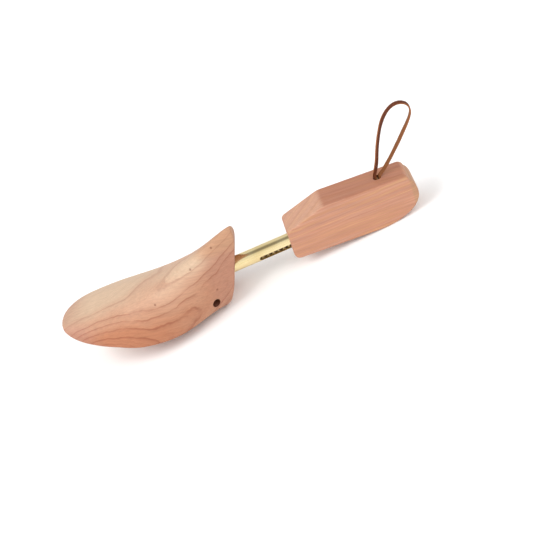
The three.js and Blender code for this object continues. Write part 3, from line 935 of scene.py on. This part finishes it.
def make_heel_block(material):
    outline = heel_outline()
    half = HEEL_WIDTH / 2
    steps = np.linspace(0, np.pi / 2, EDGE_RINGS)
    rounding = [
        (half - HEEL_EDGE * (1 - math.sin(a)), HEEL_EDGE * (1 - math.cos(a))) for a in steps[::-1]
    ]
    flat = [(y, 0) for y in np.linspace(half - HEEL_EDGE, HEEL_EDGE - half, 12)[1:-1]]
    levels = rounding + flat + [(-y, depth) for y, depth in rounding[::-1]]
    rings = []
    for y, depth in levels:
        x, z = inset(outline, depth).T
        rings.append(np.stack([x, np.full(len(x), y), z], axis=1))
    block = lofted("heel_block_shaped", rings, HEEL)
    bore = turned(
        "cutter",
        [(-BORE_DEPTH, TUBE_R + GAP), (CUT_THROUGH, TUBE_R + GAP)],
        ALONG_TUBE,
        96,
    )
    pin_hole = turned(
        "cutter",
        [(0, PIN_R + GAP), (CUT_THROUGH + PIN_REACH, PIN_R + GAP)],
        pointing(pin_point(PIN_REACH - PIN_STOP), -PIN_DIRECTION, ALONG_TUBE),
        48,
    )
    mouth = (-LOOP_HOLE_U, 0, HEEL_HEIGHT - HEEL_TUBE_HEIGHT - LOOP_HOLE_DEPTH)
    loop_hole = turned(
        "cutter",
        [(0, LOOP_HOLE_R), (LOOP_HOLE_DEPTH + CUT_THROUGH, LOOP_HOLE_R)],
        pointing(mouth, (0, 0, 1), HEEL),
        48,
    )
    carve(block, bore, pin_hole, loop_hole)
    shade(block, 40, weighted=True)
    return finish_piece(block, "heel_assembly", "cedar", material, "heel_block")


HEEL_LINES = [(118, 0.5), (127, 0.4), (133, 0.5), (139, 0.6), (143, 0.5)]
LOOP_HOLE_BOTTOM = (-LOOP_HOLE_U, 0, HEEL_HEIGHT - HEEL_TUBE_HEIGHT - LOOP_HOLE_DEPTH)
# holes whose walls get painted shade in the heel's cedar
HEEL_SHADED_HOLES = [
    (LOOP_HOLE_BOTTOM, (0, 0, 1), LOOP_HOLE_R),
    (*hole_in(HEEL, pin_point(PIN_REACH - PIN_STOP), -PIN_DIRECTION), PIN_R + GAP),
    (*hole_in(HEEL, (-BORE_DEPTH, 0, 0), (1, 0, 0)), TUBE_R + GAP),
]
heel_cedar = cedar(
    "cedar_heel",
    heel_pith,
    HEEL_LINES,
    heel_tones,
    wood(170, 104, 84),
    HEEL_SHADED_HOLES,
    0.2,
    seed=31.0,
    contrast=0.5,
)
make_heel_block(heel_cedar)


# ---------------------------------------------------------------- tube, spring and small pieces
def make_tube(material):
    outside = [(TUBE_BACK, TUBE_R - 0.15), (TUBE_BACK + 0.15, TUBE_R)]
    outside += [(TUBE_FRONT - 0.15, TUBE_R), (TUBE_FRONT, TUBE_R - 0.15)]
    tube = turned("tube_shaped", outside, ALONG_TUBE, 192)
    inside = turned(
        "cutter",
        [(TUBE_BACK - GAP, TUBE_BORE_R), (TUBE_FRONT + GAP, TUBE_BORE_R)],
        ALONG_TUBE,
        128,
    )
    angles = np.linspace(-np.pi / 2, np.pi / 2, 25)
    r = SLOT_HALF_WIDTH
    ends = [(SLOT_FRONT - r + r * math.cos(a), r * math.sin(a)) for a in angles]
    ends += [(SLOT_BACK + r - r * math.cos(a), -r * math.sin(a)) for a in angles]
    rings = [[(x, y, z) for x, z in ends] for y in (2 * TUBE_R, -2 * TUBE_R)]
    slot = lofted("cutter", rings, ALONG_TUBE @ Matrix.Rotation(SLOT_TURN, 4, "X"))
    screw_hole = screw_rod(0, CUT_THROUGH, SCREW_SHANK_R + GAP)
    carve(tube, inside, slot, screw_hole)
    shade(tube, 30)
    return finish_piece(tube, "toe_assembly", "brass", material, "tube")


def make_spring(material):
    per_turn, sides = 40, 10
    turns = np.linspace(0, SPRING_TURNS, SPRING_TURNS * per_turn + 1)
    closed = END_TURNS * CLOSED_PITCH
    open_turns = SPRING_TURNS - 2 * END_TURNS
    open_pitch = (SPRING_FRONT - SPRING_BACK - 2 * closed) / open_turns
    x = SPRING_BACK + np.minimum(turns, END_TURNS) * CLOSED_PITCH
    x += np.clip(turns - END_TURNS, 0, open_turns) * open_pitch
    x += np.maximum(turns - SPRING_TURNS + END_TURNS, 0) * CLOSED_PITCH
    angle = turns * 2 * np.pi
    line = np.stack([x, SPRING_R * np.cos(angle), SPRING_R * np.sin(angle)], axis=1)
    around = np.linspace(0, 2 * np.pi, sides, endpoint=False)
    tangent = np.gradient(line, axis=0)
    rings = []
    for p, t, a in zip(line, tangent, angle):
        t /= np.linalg.norm(t)
        out = np.array([0, math.cos(a), math.sin(a)])
        side = np.cross(t, out)
        rings.append([p + WIRE_R * (out * math.cos(b) + side * math.sin(b)) for b in around])
    spring = lofted("spring_wound", rings, ALONG_TUBE)
    shade(spring, 60)
    finish_piece(spring, "toe_assembly", "spring_steel", material, "spring")
    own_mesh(spring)
    return spring


def make_screw(material):
    under = SCREW_SEAT + GAP
    matrix = pointing((SCREW_X, 0, 0), SCREW_DIRECTION, ALONG_TUBE)
    profile = [(-3, 0.3), (-1.6, SCREW_SHANK_R), (under, SCREW_SHANK_R), (under, SCREW_HEAD_R - 0.3)]
    for a in np.linspace(0, np.pi / 2, 8, endpoint=False):
        reach = SCREW_HEAD_R - (SCREW_HEAD_R - 0.6) * (1 - math.cos(a))
        profile.append((under + 0.5 + (SCREW_HEAD_HEIGHT - 0.5) * math.sin(a), reach))
    profile.append((under + SCREW_HEAD_HEIGHT, 0.6))
    screw = turned("toe_screw_turned", profile, matrix, 64)
    top = under + SCREW_HEAD_HEIGHT
    slot = mesh_object(
        "cutter",
        [(x, y, z) for x in (top - 0.9, top + 1) for y in (-5, 5) for z in (-0.5, 0.5)],
        [(0, 1, 3, 2), (4, 6, 7, 5), (0, 4, 5, 1), (2, 3, 7, 6), (0, 2, 6, 4), (1, 5, 7, 3)],
        matrix,
    )
    carve(screw, slot)
    shade(screw, 35)
    return finish_piece(screw, "toe_assembly", "steel", material, "toe_screw")


def make_small_pieces(brass_material, steel_material, hardwood_material):
    length = 2 * PIN_REACH - PIN_RECESS - PIN_STOP - GAP
    pin = turned(
        "cross_pin_turned",
        rod_profile(0, length, PIN_R, 0.35),
        pointing(pin_point(PIN_RECESS - PIN_REACH), PIN_DIRECTION, ALONG_TUBE),
        48,
    )
    shade(pin, 35)
    finish_piece(pin, "heel_assembly", "steel", steel_material, "cross_pin")
    seat_profile = rod_profile(SEAT_BACK, SEAT_BACK + SEAT_THICKNESS, TUBE_BORE_R - GAP, 0.3)
    seat = turned("spring_seat_turned", seat_profile, ALONG_TUBE, 64)
    shade(seat, 35)
    finish_piece(seat, "heel_assembly", "brass", brass_material, "spring_seat")
    plug = turned(
        "spring_plug_turned",
        rod_profile(PLUG_BACK, TUBE_FRONT - 1, TUBE_BORE_R - GAP, 0.5),
        ALONG_TUBE,
        64,
    )
    carve(plug, screw_rod(-4, CUT_THROUGH, SCREW_SHANK_R + GAP))
    shade(plug, 35)
    finish_piece(plug, "toe_assembly", "hardwood", hardwood_material, "spring_plug")
    base = HEEL_HEIGHT - HEEL_TUBE_HEIGHT - LOOP_HOLE_DEPTH + 0.5
    rings = []
    for share in np.linspace(0, 1, 12):
        thick = 0.75 * (0.55 + 0.45 * share)
        wide = 2.2
        rings.append(
            [
                (-LOOP_HOLE_U + sx * thick, sy * wide, base + 11 * share)
                for sx, sy in ((-1, -1), (1, -1), (1, 1), (-1, 1))
            ]
        )
    peg = lofted("loop_peg_split", rings, HEEL)
    shade(peg, 35)
    finish_piece(peg, "heel_assembly", "hardwood", hardwood_material, "loop_peg")


brass_material = brass()
wire_material = steel("spring_wire", srgb(158, 128, 106), srgb(112, 84, 64), 0.3)
steel_material = steel("zinc_steel", srgb(190, 188, 182), srgb(150, 148, 144), 0.3)
hardwood_material = dark_hardwood()
make_tube(brass_material)
make_spring(wire_material)
make_screw(steel_material)
make_small_pieces(brass_material, steel_material, hardwood_material)


# ---------------------------------------------------------------- floor and light
def make_floor():
    points = [(x, y, 0) for x, y in ((-6000, -6000), (6000, -6000), (6000, 6000), (-6000, 6000))]
    floor = mesh_object("floor", points, [(0, 1, 2, 3)], Matrix.Identity(4))
    s = Shader("floor")
    s.set(Base_Color=(0.93, 0.93, 0.93, 1), Roughness=0.9, Specular_IOR_Level=0.1)
    floor.data.materials.append(s.material)


def make_light(name, toward, distance, size, power, color=(1, 1, 1)):
    """A square soft light in that direction from the tree, facing it."""
    light = bpy.data.lights.new(name, "AREA")
    light.shape = "SQUARE"
    light.size = size
    light.energy = power
    light.color = color
    obj = bpy.data.objects.new(name, light)
    bpy.context.scene.collection.objects.link(obj)
    back = Vector(toward).normalized()
    obj.matrix_world = (
        Matrix.Translation(back * distance) @ back.to_track_quat("Z", "Y").to_matrix().to_4x4()
    )


def make_world():
    """A white studio, brighter on the side that the key light is on, with a slightly brighter wall
    on the inner side of the tree and a darker ceiling."""
    world = bpy.data.worlds.new("studio")
    bpy.context.scene.world = world
    world.use_nodes = True
    tree = world.node_tree
    background = next(n for n in tree.nodes if n.type == "BACKGROUND")
    direction = tree.nodes.new("ShaderNodeTexCoord").outputs["Generated"]

    def toward(axis, *levels):
        facing = tree.nodes.new("ShaderNodeVectorMath")
        facing.operation = "DOT_PRODUCT"
        facing.inputs[1].default_value = axis
        tree.links.new(direction, facing.inputs[0])
        level = tree.nodes.new("ShaderNodeMapRange")
        level.interpolation_type = "SMOOTHSTEP"
        for i, value in enumerate(levels):
            level.inputs[i + 1].default_value = value
        tree.links.new(facing.outputs["Value"], level.inputs[0])
        return level.outputs[0]

    strength = tree.nodes.new("ShaderNodeMath")
    strength.operation = "MULTIPLY"
    tree.links.new(toward(WORLD_BRIGHT, -0.6, 1, *WORLD_LEVELS), strength.inputs[0])
    tree.links.new(toward(Vector((0, 0, 1)), 0.82, 1, 1, CEILING), strength.inputs[1])
    with_wall = tree.nodes.new("ShaderNodeMath")
    with_wall.operation = "ADD"
    tree.links.new(strength.outputs[0], with_wall.inputs[0])
    tree.links.new(toward(WALL, 0.8, 0.97, 0, WALL_LEVEL), with_wall.inputs[1])
    tree.links.new(with_wall.outputs[0], background.inputs["Strength"])
    background.inputs["Color"].default_value = (1, 1, 1, 1)


# The studio is brightest in this direction, and the two levels are away from it and in it.
WORLD_BRIGHT = Vector((0.8, 0.6, 0.2)).normalized()
WORLD_LEVELS = (0.9, 1.1)
CEILING = 0.35  # its share of that light
WALL = Vector((0.1, 1.0, 0.2)).normalized()
WALL_LEVEL = 0.15  # what the wall adds
make_floor()
make_world()
make_light("key", (0.7, 0.35, 1.0), 1.6, 0.9, 13)
make_light("fill", (-0.8, 0.6, 0.9), 1.8, 1.2, 8)
bpy.context.scene.view_settings.view_transform = "Standard"
